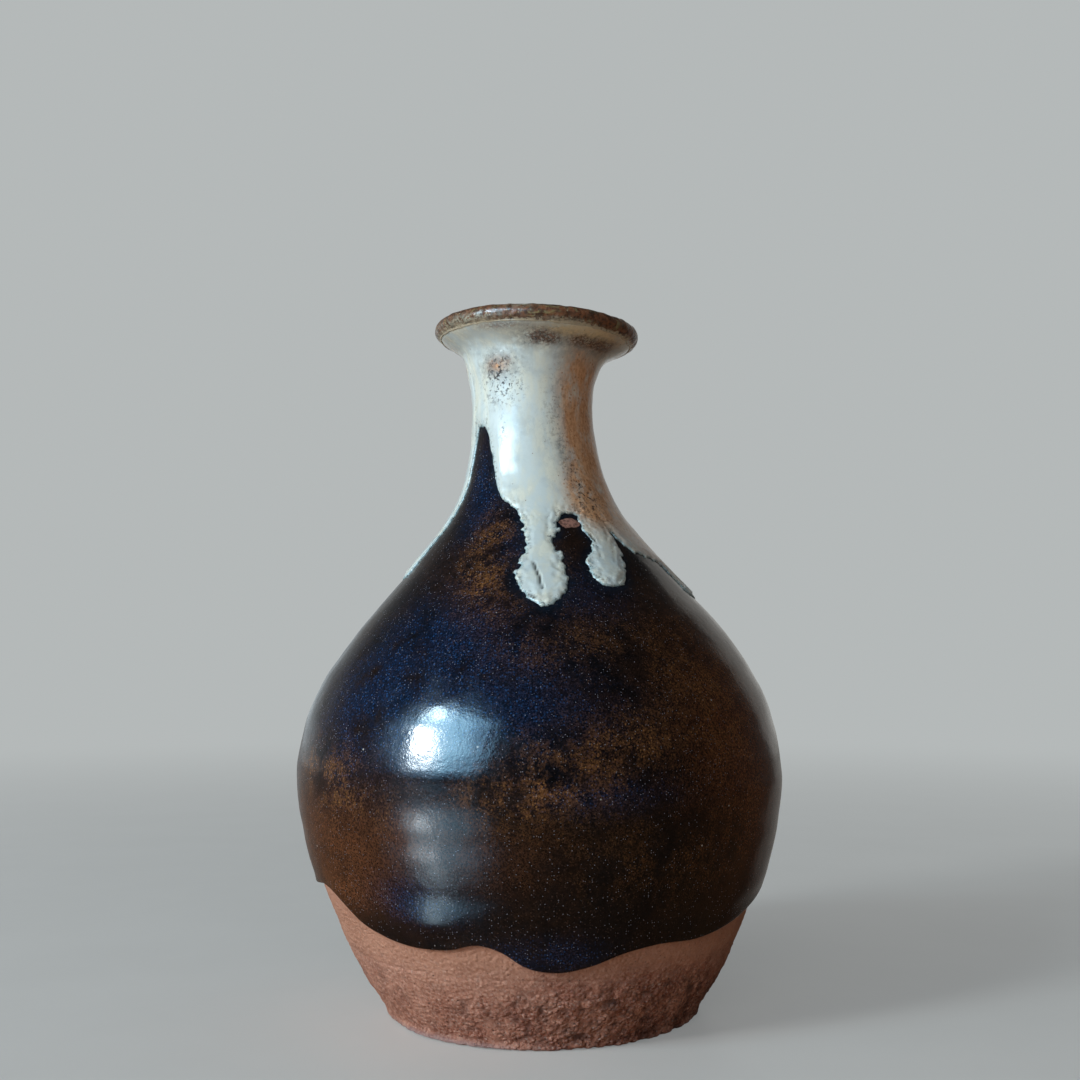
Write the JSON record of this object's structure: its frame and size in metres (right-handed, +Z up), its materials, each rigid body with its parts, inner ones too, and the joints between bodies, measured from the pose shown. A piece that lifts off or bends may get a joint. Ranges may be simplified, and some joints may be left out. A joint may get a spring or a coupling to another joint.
{
  "type": "sake bottle",
  "caption": "Round-bellied stoneware bottle with a slim neck, flared rolled lip and bare clay foot, dark glaze with a poured white glaze, for holding and pouring warm or cold drink.",
  "frame": {"origin": "centre of the foot, on the plane that the foot rests on", "axes": "+Z up along the throwing axis, towards the lip; the side with the two long white runs faces -Y"},
  "size_m": [0.0984, 0.0984, 0.14],
  "materials": {
    "bare_clay": "rough, gritty, unglazed",
    "dark_glaze": "glossy, near black with rust mottling",
    "white_glaze": "glossy, opaque cream white",
    "iron_glaze": "satin, rust brown, speckled",
    "inside_glaze": "glossy, dark brown"
  },
  "bodies": {
    "root": {"clay_body": "bare_clay", "dark_glaze_coat": "dark_glaze", "white_glaze_coat": "white_glaze", "lip_glaze": "iron_glaze", "liner_glaze": "inside_glaze"}
  },
  "joints": []
}
